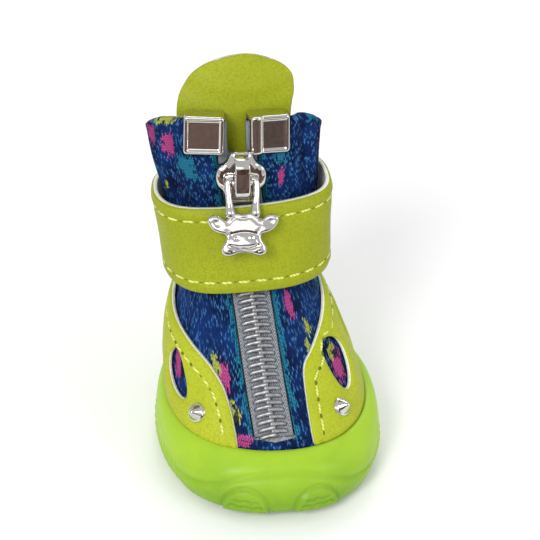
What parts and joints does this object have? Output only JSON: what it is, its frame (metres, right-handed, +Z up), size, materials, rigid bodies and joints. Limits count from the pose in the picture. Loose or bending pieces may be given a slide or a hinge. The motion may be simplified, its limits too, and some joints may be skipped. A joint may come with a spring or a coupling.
{
  "type": "dog boot",
  "caption": "Small dog boot with a moulded cup sole, printed knit upper, front zip with hinged pull, tongue, strap and side panels.",
  "frame": {"origin": "on the ground under the middle of the boot's box", "axes": "-Y points to the toe, +Z points up the shaft, X runs across the boot"},
  "size_m": [0.0456, 0.058, 0.0776],
  "materials": {
    "moulded_tpr": "moulded, half clear, satin",
    "foam_board": "pressed foam with a cloth face",
    "printed_knit": "open knit with a printed pattern",
    "grained_pu": "grained, satin",
    "woven_tape": "woven",
    "zip_coil": "metallised nylon",
    "chrome_cast": "polished plate on a casting",
    "sewing_thread": "twisted",
    "knit_lining": "brushed cloth"
  },
  "bodies": {
    "boot": {"outsole": "moulded_tpr", "insole": "foam_board", "upper": "printed_knit", "tongue": "grained_pu", "side_panel": "grained_pu", "strap": "grained_pu", "zip_tape": "woven_tape", "zip_chain": "zip_coil", "zip_slider": "chrome_cast", "zip_end_left": "chrome_cast", "zip_end_right": "chrome_cast", "stud_left": "chrome_cast", "stud_right": "chrome_cast"},
    "pull": {"zip_pull": "chrome_cast"}
  },
  "joints": [
    {"name": "zip_pull_hinge", "type": "hinge", "parent": "boot", "child": "pull", "pos_m": [-0.00595, 0.00224, 0.05755], "axis": [-1, 0, 0], "range_deg": [0, 130]}
  ]
}
